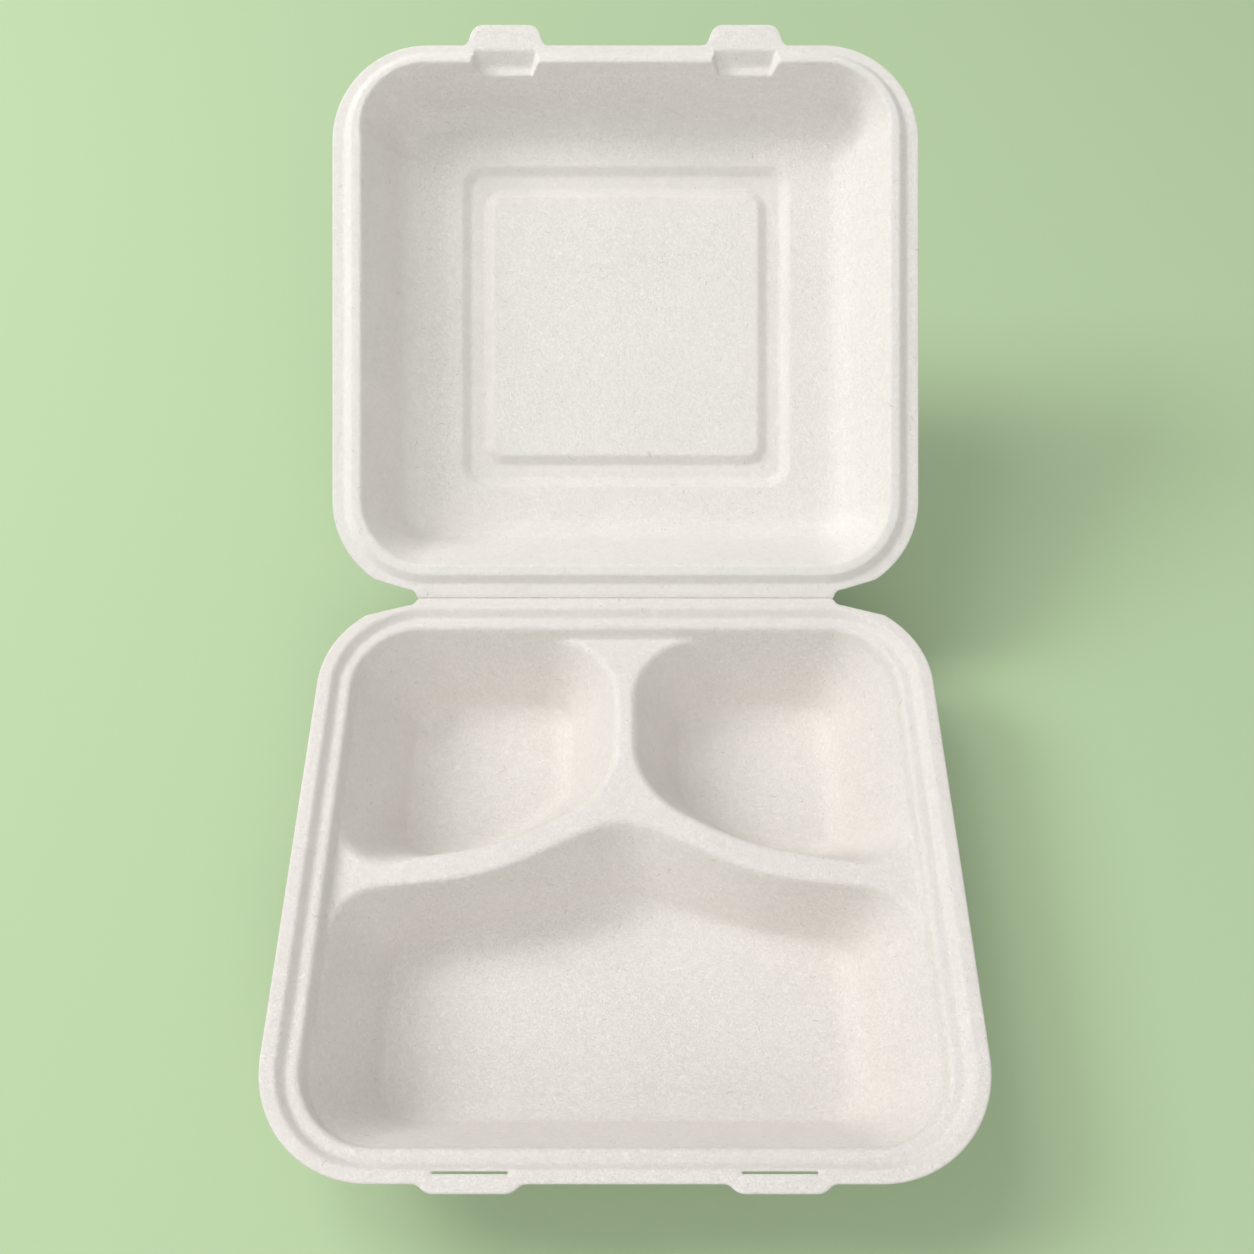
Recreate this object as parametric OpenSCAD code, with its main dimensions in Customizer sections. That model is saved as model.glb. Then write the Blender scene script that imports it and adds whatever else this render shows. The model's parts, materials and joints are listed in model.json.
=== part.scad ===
// Hinged clamshell box of moulded plant fibre, with three compartments and a vaulted lid.
// The tray stands on its floor, and its crease line lies along X at the back.
// Tray and lid are both drawn flat, about the crease line, and the lid is then swung up by its fold.
// A depth is measured down from the top face of the tray's flange, and a run towards the middle of the tray.

/* [Tray] */
// Width of the tray over its flange
tray_w = 229.6; // [205:0.2:260]
// Length of the tray from the crease line to its front edge
tray_l = 215.6; // [200:0.2:240]
// Height of the tray from the table to its flange
tray_h = 45; // [38:0.5:60]
// Corner radius of the tray's outline
corner_r = 38; // [32:0.5:46]
// Thickness of the tray's wall
tray_wall = 1.2; // [0.8:0.05:1.4]
// Slope of the tray's walls from upright, in degrees
tray_draft = 17; // [10:0.5:18]
// Radius between the tray's walls and its floors
floor_r = 7.5; // [6:0.5:12]

/* [Rim] */
// Width of the tray's flange at the sides and back
flange_w = 5.0; // [4:0.1:7]
// Width of the tray's flange at the front
front_flange_w = 4.0; // [3.6:0.1:7]
// Width of the sloping step from the flange to the ledge
step_w = 2.6; // [2:0.1:4]
// Drop of the ledge below the flange
step_drop = 3.0; // [2.8:0.1:4]
// Width of the ledge that the lid's bead lies over
ledge_w = 4.4; // [3.6:0.1:6]
// Radius of the ledge's inner edge
ledge_edge_r = 2.2; // [1.6:0.1:3]

/* [Dividers] */
// Drop of the divider tops below the ledge
divider_drop = 5.0; // [3:0.1:10]
// Width of the middle divider between its wall lines
divider_w = 6.4; // [5.8:0.1:10]
// Radius of a divider's shoulders
shoulder_r = 2.6; // [2:0.1:2.8]
// Distance from the crease line to the back pockets' front wall, beside the tray's wall
pocket_side_l = 110.5; // [100:0.5:113]
// Distance from the crease line to the bend in the back pockets' front wall
pocket_bend_l = 100.5; // [92:0.5:102]
// Distance from the crease line to the back pockets' front wall, beside the middle divider
pocket_mid_l = 78; // [70:0.5:82]
// Distance of the bend in the back pockets' front wall from the tray's middle
pocket_bend_x = 40; // [34:0.5:46]
// Distance from the crease line to the main compartment's back wall, beside the tray's wall
main_side_l = 118.3; // [117:0.5:128]
// Distance from the crease line to the bend in the main compartment's back wall
main_bend_l = 112.7; // [111:0.5:116]
// Distance from the crease line to the point in the middle of the main compartment's back wall
main_mid_l = 88.9; // [87:0.5:95]
// Distance of the bend in the main compartment's back wall from the tray's middle
main_bend_x = 48; // [44:0.5:54]
// Radius of a back pocket's outline beside the middle divider, at the back
pocket_back_r = 28; // [18:1:30]
// Radius of a back pocket's outline beside the middle divider, at the front
pocket_mid_r = 34; // [18:1:36]
// Radius of the bend in a back pocket's front wall
pocket_bend_r = 110; // [50:5:115]
// Radius of a back pocket's outline beside the tray's wall, at the front
pocket_side_r = 17; // [12:1:22]
// Radius of the point in the middle of the main compartment's back wall
main_mid_r = 26; // [16:1:34]
// Radius of the bend in the main compartment's back wall
main_bend_r = 90; // [40:5:100]
// Radius of the main compartment's outline beside the tray's wall, at the back
main_side_r = 19; // [12:1:24]

/* [Lid] */
// Depth of the lid from its flange to the roof's inner face
lid_depth = 25.5; // [20:0.5:34]
// Thickness of the lid's wall
lid_wall = 0.65; // [0.6:0.05:1.1]
// Slope of the lid's walls from upright, in degrees
lid_draft = 27; // [20:0.5:32]
// Radius between the lid's walls and its roof
roof_r = 11; // [8:0.5:16]
// Distance of the lid's edge inside the tray's edge
lid_margin = 1.0; // [0.6:0.1:1.6]
// Distance that the steeper wall beside the latch lets the roof reach further
latch_lean_w = 6.5; // [0:0.5:7]
// Gap between the lid's bead and the tray's step when the box is shut
bead_gap = 0.6; // [0.4:0.1:1]
// Width of the bead's outer slope
bead_slope_w = 3.2; // [2.6:0.1:4]
// Height of the bead over the lid's flange
bead_rise = 2.4; // [1.8:0.1:2.5]
// Width of the bead's top
bead_top_w = 3.8; // [3:0.1:5]
// Radius of the bead's edges
bead_edge_r = 1.5; // [1.2:0.1:1.8]

/* [Roof panel] */
// Width of the sunk square in the roof
panel_outer_w = 128.8; // [110:0.2:134]
// Length of the sunk square in the roof
panel_outer_l = 126.6; // [110:0.2:132]
// Width of the groove round the raised panel
panel_groove_w = 9.8; // [7:0.1:14]
// Depth of the groove round the raised panel
panel_groove_d = 2.2; // [1:0.1:2.5]
// Width of the groove's sloping sides
panel_slope_w = 3.2; // [2:0.1:4]
// Distance of the panel's middle from the lid's middle, towards the latch
panel_shift = 3.3; // [0:0.1:5]
// Corner radius of the sunk square
panel_corner_r = 9; // [6:0.1:12]
// Corner radius of the raised panel's foot
panel_inner_r = 7; // [4:0.1:10]

/* [Latch] */
// Distance of each latch from the middle of the box
latch_x = 46.6; // [40:0.2:54]
// Width of a lid tab at its tip
tab_tip_w = 21; // [18:0.2:22]
// Width of a lid tab at its root
tab_root_w = 31.8; // [30:0.2:34]
// Reach of a lid tab past the lid's edge
tab_l = 8.0; // [6:0.1:10]
// Corner radius of a lid tab
tab_corner_r = 3.0; // [2:0.1:4]
// Width of the trough beside a lid tab
trough_w = 26.5; // [24:0.2:30]
// Depth of the trough below the lid's flange
trough_d = 4.4; // [3:0.1:5]
// Reach of the trough's lip past the bead, into the lid
trough_lip = 3.4; // [2:0.1:5]
// Width of the slope at each end of a trough
trough_slope_w = 3.0; // [2:0.1:4]
// Reach of the lip past each end of its trough
trough_side_w = 1.6; // [1.2:0.1:2.5]
// Drop of the lip's foot below the bead's top
trough_foot_drop = 8.2; // [6:0.2:10]
// Width of a tray ear at its tip
ear_tip_w = 25.6; // [24:0.2:30]
// Width of a tray ear at its root
ear_root_w = 31.6; // [30:0.2:36]
// Reach of a tray ear past the tray's front edge
ear_l = 2.8; // [2:0.1:5]
// Length of the slit that takes a lid tab
slit_l = 22.8; // [22.4:0.2:26]
// Width of the slit that takes a lid tab
slit_w = 0.7; // [0.5:0.05:1]

/* [Fold] */
// Angle of the open lid above level, in degrees
lid_tilt = 34.7; // [20:0.1:40]
// Half the length of the crease
crease_half_l = 81; // [76:0.5:84]
// Radius of the rounded notch at each end of the crease
notch_r = 3.2; // [2.6:0.1:4]
// Length over which a notch widens towards the box's side
notch_flare_l = 16; // [12:1:20]
// Radius of a notch at its wide end
notch_flare_r = 8; // [7:0.5:9]
// Gap between the flanges when the box is shut
shut_gap = 0.3; // [0.3:0.05:0.6]

/* [Hidden] */

corner_steps = 8;
pocket_steps = 6;
edge_steps = 3;
floor_steps = 5;
bite = 0.3;
seam = 0.05;
least_r = 2.5;
wide_r = 5;
beyond = 12;

crease_z = tray_h;
face_drop = shut_gap / 2;
flange_z = -face_drop;
ledge_z = flange_z - step_drop;
divider_z = ledge_z - divider_drop;
floor_z = tray_wall - tray_h;
front_trim = flange_w - front_flange_w;

ledge_run = flange_w + step_w;
rim_run = ledge_run + ledge_w;
land_run = rim_run + divider_drop * tan(tray_draft) - seam;
land_half_w = tray_w / 2 - land_run;
land_front_l = tray_l + front_trim - land_run;
divider_half_w = divider_w / 2;
tray_mid = [0, -tray_l / 2];

lid_flange_w = flange_w + bead_gap - lid_margin;
bead_run = lid_flange_w + bead_slope_w;
lid_rim_run = bead_run + bead_top_w;
bead_z = flange_z + bead_rise;
roof_z = flange_z - lid_depth;
roof_run = lid_rim_run + (bead_z - roof_z) * tan(lid_draft);
latch_wall_slope = tan(lid_draft) - latch_lean_w / (bead_z - roof_z);
latch_edge_l = tray_l - lid_margin;
bead_front_l = latch_edge_l - lid_flange_w + front_trim;
lid_mid = [0, tray_l / 2 + panel_shift];

lid_reach = (latch_edge_l + tab_l) * cos(lid_tilt) + (face_drop + lid_wall) * sin(lid_tilt);
crease_y = (tray_l + ear_l - lid_reach) / 2;

// Outline of a rounded rectangle whose ends lie at two places along Y
function rounded_rect(half_w, low_y, high_y, r) =
    let (c = max(least_r, r))
    [for (corner = [0:3], i = [0:corner_steps])
        let (right = corner == 0 || corner == 3, a = corner * 90 + i * 90 / corner_steps)
        [(right ? half_w - c : c - half_w) + c * cos(a), (corner < 2 ? high_y - c : low_y + c) + c * sin(a)]];

// Unit normal on the left of the line from one point to another
function left_of(a, b) = [a.y - b.y, b.x - a.x] / norm([b.x - a.x, b.y - a.y]);

// Points of one corner [x, y, radius] of a path that is moved left by an inset, between its edges' normals
function corner_points(corner, n1, n2, inset, steps) =
    let (
        turn = cross(n1, n2) < 0 ? -1 : 1,
        r = max(corner[2] > least_r ? least_r : 0, corner[2] - turn * inset),
        middle_normal = (n1 + n2) / (1 + n1 * n2),
        centre = [corner.x, corner.y] + (inset + turn * r) * middle_normal,
        start = atan2(n1.y, n1.x),
        sweep = atan2(cross(n1, n2), n1 * n2))
    corner[2] == 0 ? [[corner.x, corner.y] + inset * middle_normal]
    : [for (i = [0:steps])
        let (a = start + sweep * i / steps)
        centre - turn * r * [cos(a), sin(a)]];

// Closed outline with round corners, inset all round
function pocket_outline(corners, inset) =
    let (n = len(corners))
    [for (i = [0:n - 1])
        let (
            n1 = left_of(corners[(i + n - 1) % n], corners[i]),
            n2 = left_of(corners[i], corners[(i + 1) % n]))
        each corner_points(corners[i], n1, n2, inset, pocket_steps)];

// Open section [run, height] with round corners, whose face lies under the given one by the skin
function sheet_section(corners, skin) =
    let (last = len(corners) - 1)
    concat(
        [[corners[0].x, corners[0].y] - skin * left_of(corners[0], corners[1])],
        [for (i = [1:last - 1])
            let (
                n1 = left_of(corners[i - 1], corners[i]),
                n2 = left_of(corners[i], corners[i + 1]),
                steps = corners[i][2] > wide_r ? floor_steps : edge_steps)
            each corner_points(corners[i], n1, n2, -skin, steps)],
        [[corners[last].x, corners[last].y] - skin * left_of(corners[last - 1], corners[last])]);

// Solid through a stack of outlines of equal length, closed at each end about a middle point
module loft(outlines, heights, middle) {
    n = len(outlines[0]);
    last = len(outlines) - 1;
    hub = (last + 1) * n;
    polyhedron(
        points = concat(
            [for (k = [0:last], p = outlines[k]) [p.x, p.y, heights[k]]],
            [[middle.x, middle.y, heights[0]], [middle.x, middle.y, heights[last]]]),
        faces = concat(
            [for (k = [0:last - 1], i = [0:n - 1]) [k * n + i, (k + 1) * n + i, k * n + (i + 1) % n]],
            [for (k = [0:last - 1], i = [0:n - 1])
                [k * n + (i + 1) % n, (k + 1) * n + i, (k + 1) * n + (i + 1) % n]],
            [for (i = [0:n - 1]) [hub, i, (i + 1) % n]],
            [for (i = [0:n - 1]) [hub + 1, last * n + (i + 1) % n, last * n + i]]),
        convexity = 8);
}

// Flat plate between two heights, from a 2-D outline
module plate(low_z, high_z) {
    translate([0, 0, low_z]) linear_extrude(high_z - low_z) children();
}

// One cut round each end of the crease
module notches() {
    for (side = [-1, 1])
        plate(flange_z - beyond, flange_z + beyond) hull() {
            translate([side * (crease_half_l + notch_r), 0]) circle(r = notch_r, $fn = 32);
            translate([side * (crease_half_l + notch_r + notch_flare_l), 0])
                circle(r = notch_flare_r, $fn = 32);
        }
}

// Trapezoid with rounded tips that reaches from a root line towards +Y
module tongue(root_w, tip_w, reach, r) {
    hull() {
        translate([-root_w / 2, -bite]) square([root_w, bite]);
        for (side = [-1, 1])
            translate([side * (tip_w / 2 - r), reach - r]) circle(r = r, $fn = 24);
    }
}

// Outline of the tray a given run in from its edge, with the front's narrower flange past the first run
function tray_ring(run) =
    rounded_rect(tray_w / 2 - run, -(tray_l - run + (run > 0 ? front_trim : 0)), -run - seam, corner_r - run);

module tray_loft(section) {
    upward = [for (i = [len(section) - 1:-1:0]) section[i]];
    loft([for (p = upward) tray_ring(p.x)], [for (p = upward) p.y], tray_mid);
}

// Space inside the tray's outer walls, as open as its inner face or grown by the wall
module tub(skin) {
    low_z = floor_z - beyond;
    wall_foot = rim_run + (ledge_z - low_z) * tan(tray_draft);
    rolled = sheet_section([
        [ledge_run, ledge_z, 0],
        [rim_run, ledge_z, ledge_edge_r],
        [wall_foot, low_z, 0]], skin);
    tray_loft(concat([[rolled[1].x, ledge_z + (skin > 0 ? -bite : beyond)]],
        [for (i = [1:len(rolled) - 1]) rolled[i]]));
}

// One compartment under the dividers' tops, from its outline at that height
module pocket(corners, middle, skin) {
    foot_run = (divider_z - floor_z) * tan(tray_draft);
    rolled = sheet_section([
        [-beyond, divider_z, 0],
        [0, divider_z, shoulder_r],
        [foot_run, floor_z, floor_r],
        [foot_run + beyond, floor_z, 0]], skin);
    inner = [for (i = [len(rolled) - 2:-1:1]) rolled[i]];
    loft(concat([for (p = inner) pocket_outline(corners, p.x)], [pocket_outline(corners, rolled[1].x)]),
        concat([for (p = inner) p.y], [divider_z + bite]), middle);
}

module pockets(skin) {
    land_corner_r = corner_r - land_run;
    side = [
        [divider_half_w, -land_run, pocket_back_r],
        [divider_half_w, -pocket_mid_l, pocket_mid_r],
        [pocket_bend_x, -pocket_bend_l, pocket_bend_r],
        [land_half_w, -pocket_side_l, pocket_side_r],
        [land_half_w, -land_run, land_corner_r]];
    main = [
        [0, -main_mid_l, main_mid_r],
        [-main_bend_x, -main_bend_l, main_bend_r],
        [-land_half_w, -main_side_l, main_side_r],
        [-land_half_w, -land_front_l, land_corner_r],
        [land_half_w, -land_front_l, land_corner_r],
        [land_half_w, -main_side_l, main_side_r],
        [main_bend_x, -main_bend_l, main_bend_r]];
    for (turn = [0, 1])
        mirror([turn, 0, 0]) pocket(side, [land_half_w / 2, -pocket_mid_l / 2], skin);
    pocket(main, [0, -(main_side_l + land_front_l) / 2], skin);
}

// The tray's compartments and the space over their dividers
module tray_hollow(skin) {
    intersection() {
        tub(skin);
        union() {
            plate(divider_z - skin, ledge_z + (skin > 0 ? -bite : beyond))
                translate([-tray_w / 2, -tray_l]) square([tray_w, tray_l]);
            pockets(skin);
        }
    }
}

// Flange, sloping step and ledge before the hollows are cut
module rim_body() {
    mitre = tray_wall * tan(atan2(step_drop, step_w) / 2);
    tray_loft([[0, flange_z], [0, flange_z - tray_wall]]);
    tray_loft([[flange_w - mitre, flange_z - tray_wall / 2], [flange_w - mitre, flange_z - tray_wall],
        [ledge_run - mitre, ledge_z - tray_wall]]);
}

module ears() {
    for (side = [-1, 1])
        plate(flange_z - tray_wall, flange_z) translate([side * latch_x, -tray_l]) mirror([0, 1])
            tongue(ear_root_w, ear_tip_w, ear_l, 2);
}

// Slits that take the lid's tabs, each with a small sunk dimple at both ends
module slits() {
    slit_y = -(tray_l - front_flange_w) - slit_w;
    for (side = [-1, 1]) {
        plate(flange_z - beyond / 2, flange_z + beyond / 2) translate([side * latch_x, slit_y]) hull()
            for (end = [-1, 1])
                translate([end * (slit_l - slit_w) / 2, 0]) circle(r = slit_w / 2, $fn = 16);
        for (end = [-1, 1])
            translate([side * latch_x + end * slit_l / 2, slit_y, flange_z]) hull() {
                cube([2 * slit_w, 3 * slit_w, tray_wall / 20], center = true);
                cube([slit_w / 2, slit_w, tray_wall], center = true);
            }
    }
}

module tray() {
    color("#ECE7E0") translate([0, crease_y, crease_z]) difference() {
        union() {
            rim_body();
            tray_hollow(tray_wall);
            ears();
        }
        tray_loft([[flange_w, flange_z + beyond], [flange_w, flange_z], [ledge_run, ledge_z]]);
        tray_hollow(0);
        slits();
        notches();
    }
}

// Outline of the lid a given run in from its edge, at a height that sets the latch wall's lean
function lid_ring(run, z) =
    let (lean = latch_lean_w * max(0, min(1, (bead_z - z) / (bead_z - roof_z))))
    rounded_rect(tray_w / 2 - lid_margin - run, lid_margin + run,
        latch_edge_l - run + lean + (run > 0 ? front_trim : 0), corner_r - lid_margin - run);

// Outline of the roof's sunk square, grown by a distance on every side
function panel_ring(grow, r) =
    let (half_l = panel_outer_l / 2 + grow)
    rounded_rect(panel_outer_w / 2 + grow, lid_mid.y - half_l, lid_mid.y + half_l, r);

// One face of the lid's sheet as [outline, height], from the outer edge to the roof's middle
function lid_face(skin) =
    let (
        section = sheet_section([
            [0, flange_z, 0],
            [lid_flange_w, flange_z, bead_edge_r],
            [bead_run, bead_z, bead_edge_r],
            [lid_rim_run, bead_z, bead_edge_r],
            [roof_run, roof_z, roof_r],
            [roof_run + beyond, roof_z, 0]], skin),
        sunk_z = roof_z - panel_groove_d,
        step = skin * tan(atan2(panel_groove_d, panel_slope_w) / 2),
        outer_foot = step - panel_slope_w,
        inner_foot = -step - panel_slope_w - panel_groove_w,
        inner_top = inner_foot - panel_slope_w)
    concat(
        [for (i = [0:len(section) - 2]) [lid_ring(section[i].x, section[i].y), section[i].y]],
        [[panel_ring(step, panel_corner_r), roof_z - skin],
        [panel_ring(outer_foot, panel_corner_r - panel_slope_w / 2), sunk_z - skin],
        [panel_ring(inner_foot, panel_inner_r), sunk_z - skin],
        [panel_ring(inner_top, panel_inner_r - panel_slope_w / 2), roof_z - skin]]);

module lid_sheet() {
    top = lid_face(0);
    under = lid_face(lid_wall);
    rings = concat([for (i = [len(under) - 1:-1:0]) under[i]], top);
    loft([for (r = rings) r[0]], [for (r = rings) r[1]], lid_mid);
}

// Thin level box about the latch's middle, between two places along Y
module level(half_w, near_y, far_y, z) {
    translate([-half_w, near_y, z - seam]) cube([2 * half_w, far_y - near_y, seam]);
}

// Hollow of a trough across the rim, as open as its face or grown by the wall
module trough(skin) {
    low_y = bead_front_l - bead_slope_w - bead_top_w / 2;
    rise = trough_d + bead_rise;
    high = skin > 0 ? -skin / 2 : bead_rise + bite;
    outer = (latch_edge_l - low_y) / trough_d;
    inner = (bead_top_w / 2 + trough_lip / 2) / rise;
    inner_y = low_y - skin - inner * (trough_d + high);
    outer_y = low_y + skin + outer * (trough_d + high);
    hull() {
        level(trough_w / 2 + skin, inner_y, outer_y, flange_z + high);
        level(trough_w / 2 - trough_slope_w + skin, low_y - skin, low_y + skin, flange_z - trough_d - skin);
    }
}

// Lip that stands into the lid behind a trough and closes the bead's ends
module trough_lips() {
    wall_l = bead_front_l - bead_slope_w - bead_top_w;
    half_w = trough_w / 2 + trough_side_w;
    foot_l = wall_l - trough_foot_drop * latch_wall_slope;
    hull() {
        level(half_w, wall_l - trough_lip, wall_l + bead_top_w, bead_z);
        level(half_w, wall_l, wall_l + bead_top_w + bead_slope_w, flange_z - lid_wall / 2);
        level(trough_w / 2, foot_l, foot_l + lid_wall, bead_z - trough_foot_drop);
    }
}

module lid() {
    color("#EEEAE3") translate([0, crease_y, crease_z]) rotate([lid_tilt, 0, 0]) difference() {
        union() {
            lid_sheet();
            plate(flange_z - lid_wall, flange_z) translate([-crease_half_l - notch_r, seam])
                square([2 * (crease_half_l + notch_r), 2 * lid_margin]);
            for (side = [-1, 1]) {
                plate(flange_z - lid_wall, flange_z) translate([side * latch_x, latch_edge_l])
                    tongue(tab_root_w, tab_tip_w, tab_l, tab_corner_r);
                translate([side * latch_x, 0, 0]) trough(lid_wall);
                translate([side * latch_x, 0, 0]) trough_lips();
            }
        }
        for (side = [-1, 1])
            translate([side * latch_x, 0, 0]) trough(0);
        notches();
    }
}

tray();
lid();
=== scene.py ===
"""Open clamshell box of moulded plant fibre: shells of tray and lid, crease, loose fibres and studio."""

import json
import math

import bpy
import numpy as np
from mathutils import Matrix, Vector
from mathutils.geometry import delaunay_2d_cdt

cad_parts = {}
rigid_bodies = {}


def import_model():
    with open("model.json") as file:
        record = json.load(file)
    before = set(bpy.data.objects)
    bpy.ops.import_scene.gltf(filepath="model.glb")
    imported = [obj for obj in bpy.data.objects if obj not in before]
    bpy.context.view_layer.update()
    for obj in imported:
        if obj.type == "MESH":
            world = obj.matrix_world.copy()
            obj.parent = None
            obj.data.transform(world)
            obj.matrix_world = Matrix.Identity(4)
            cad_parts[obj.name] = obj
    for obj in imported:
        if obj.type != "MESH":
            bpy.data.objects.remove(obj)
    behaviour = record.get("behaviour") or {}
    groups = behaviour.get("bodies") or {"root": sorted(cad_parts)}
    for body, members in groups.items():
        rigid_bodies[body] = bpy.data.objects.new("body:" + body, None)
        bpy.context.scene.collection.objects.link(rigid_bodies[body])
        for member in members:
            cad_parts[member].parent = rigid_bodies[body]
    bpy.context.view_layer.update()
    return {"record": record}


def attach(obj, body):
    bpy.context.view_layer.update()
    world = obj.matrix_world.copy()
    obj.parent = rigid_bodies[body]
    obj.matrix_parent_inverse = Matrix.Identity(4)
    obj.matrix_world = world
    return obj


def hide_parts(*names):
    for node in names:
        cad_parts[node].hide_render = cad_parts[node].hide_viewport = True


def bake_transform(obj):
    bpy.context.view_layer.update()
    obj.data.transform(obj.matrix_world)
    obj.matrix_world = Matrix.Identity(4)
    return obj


bl_info = {
    "name": "Moulded Fibre Clamshell Box",
    "version": (1, 0, 0),
    "blender": (4, 5, 0),
    "location": "View3D > Sidebar > Fibre Box",
    "description": "Builds the pressed shells, crease, fibres and studio of an open takeaway box",
    "category": "Object",
}

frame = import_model()

FOLD = frame["record"]["behaviour"]["joints"][0]
CREASE = Vector(FOLD["pos_m"])
LID_TILT = math.radians(-FOLD["range_deg"][0])
TRAY_BODY = FOLD["parent"]
LID_BODY = FOLD["child"]
MM = 0.001
EDGE_ANGLES = (0.25 * math.pi, 0.5 * math.pi, 0.75 * math.pi)
SEAM = 0.05
RING_SPACING = 1.25
EDGE_SPACING = 0.95
FINE_EDGE_SPACING = 0.42
WALL_SPACING = 1.35
CORNER_STEPS = 14
PICTURE_PIXELS = 1254
LENS_PIXELS = 1363
FILM_WIDTH = 36.0
EYE_DISTANCE = 0.529
EYE_DROP = 0.0113
EYE_ASIDE = 0.0006
LAMP_AIM = Vector((0, 0, 0.03))
LAMP_TINT = (1.0, 0.992, 0.975)


def length(name, description, millimetres):
    """A length that a user may change, written here in millimetres."""
    return bpy.props.FloatProperty(
        name=name, description=description, default=millimetres * MM, min=0.0, unit="LENGTH", precision=5)


def angle(name, description, degrees):
    """An angle that a user may change, written here in degrees."""
    return bpy.props.FloatProperty(
        name=name, description=description, default=math.radians(degrees), subtype="ANGLE")


def colour(name, description, value):
    """A linear colour that a user may change."""
    return bpy.props.FloatVectorProperty(
        name=name, description=description, default=value, subtype="COLOR", size=3, min=0.0, max=1.0)


class TraySizes(bpy.types.PropertyGroup):
    """Sizes of the tray, its rim, pockets and ears."""

    width: length("Width", "Width of the tray over its flange", 229.6)
    reach: length("Length", "Crease to the front edge", 215.6)
    corner: length("Corner radius", "Radius of the tray's outline at its corners", 38.0)
    wall: length("Wall", "Thickness of the tray's wall", 1.2)
    draft: angle("Draft", "Slope of the tray's walls from upright", 17.0)
    flange: length("Flange", "Width of the flange at the sides and back", 5.0)
    front_flange: length("Front flange", "Width of the flange at the front", 4.0)
    step: length("Step", "Width of the slope from flange to ledge", 2.6)
    step_drop: length("Step drop", "Drop of the ledge below the flange", 3.0)
    ledge: length("Ledge", "Width of the ledge under the lid's bead", 4.4)
    ledge_edge: length("Ledge edge radius", "Radius of the ledge's inner edge", 2.2)
    step_edge: length("Step edge radius", "Radius of the step's upper and lower edge", 1.4)
    divider_drop: length("Divider drop", "Drop of the dividers below the ledge", 5.0)
    divider: length("Divider width", "Width of the middle divider between its walls", 6.4)
    shoulder: length("Shoulder radius", "Radius of the dividers' shoulders", 2.6)
    floor_radius: length("Floor radius", "Radius between walls and floors", 7.5)
    ear_reach: length("Ear reach", "Reach of an ear past the front edge", 2.8)
    ear_tip: length("Ear tip width", "Width of an ear at its tip", 25.6)
    ear_root: length("Ear root width", "Width of an ear at its root", 31.6)
    slit: length("Slit length", "Length of the slit for a lid tab", 22.8)
    slit_gap: length("Slit width", "Width of the slit for a lid tab", 0.7)


class PocketSizes(bpy.types.PropertyGroup):
    """Outlines of the tray's three compartments, at the dividers' tops and at the floors."""

    side_reach: length("Side reach", "Crease to the back pockets' front wall, at the side", 110.5)
    bend_reach: length("Bend reach", "Crease to the bend in the back pockets' front wall", 100.5)
    mid_reach: length("Middle reach", "Crease to the back pockets' front wall, at the middle", 78.0)
    bend_across: length("Bend across", "Middle to the bend", 40.0)
    back_radius: length("Back radius", "Radius beside the middle divider, at the back", 28.0)
    mid_radius: length("Middle radius", "Radius beside the middle divider, at the front", 34.0)
    bend_radius: length("Bend radius", "Radius of the bend in the front wall", 110.0)
    side_radius: length("Side radius", "Radius beside the tray's wall, at the front", 17.0)
    main_side_reach: length("Main side reach", "Crease to the main compartment, at the side", 118.3)
    main_bend_reach: length("Main bend reach", "Crease to the bend in the main's back wall", 112.7)
    main_mid_reach: length("Main middle reach", "Crease to the point of the main's back wall", 88.9)
    main_bend_across: length("Main bend across", "Middle to that bend", 48.0)
    main_mid_radius: length("Main middle radius", "Radius of the point in the main's back wall", 26.0)
    main_bend_radius: length("Main bend radius", "Radius of the bend in the main's back wall", 90.0)
    main_side_radius: length("Main side radius", "Radius beside the tray's wall, at the back", 19.0)
    floor_half: length("Floor half width", "Middle to the floors' outer edges", 80.3)
    floor_inner: length("Floor inner edge", "Middle to the back floors' inner edges", 22.8)
    floor_back: length("Floor back edge", "Crease to the back floors' back edge", 25.0)
    floor_mid: length("Floor middle edge", "Crease to the back floors' front edge, inside", 66.0)
    floor_bend: length("Floor bend", "Crease to the bend in the back floors' front edge", 84.0)
    floor_bend_across: length("Floor bend across", "Middle to that bend", 45.0)
    floor_front: length("Floor front edge", "Crease to the back floors' front edge, at the side", 90.5)
    floor_corner: length("Floor corner radius", "Corner radius of the floors", 11.0)
    floor_bend_radius: length("Floor bend radius", "Radius of the bends in the floors' edges", 60.0)
    main_floor_mid: length("Main floor middle", "Crease to the point of the main floor", 106.6)
    main_floor_bend: length("Main floor bend", "Crease to the bend in the main floor's edge", 120.4)
    main_floor_across: length("Main floor bend across", "Middle to that bend", 47.0)
    main_floor_back: length("Main floor back", "Crease to the main floor's back corners", 122.4)
    main_floor_front: length("Main floor front", "Crease to the main floor's front edge", 185.0)


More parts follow.
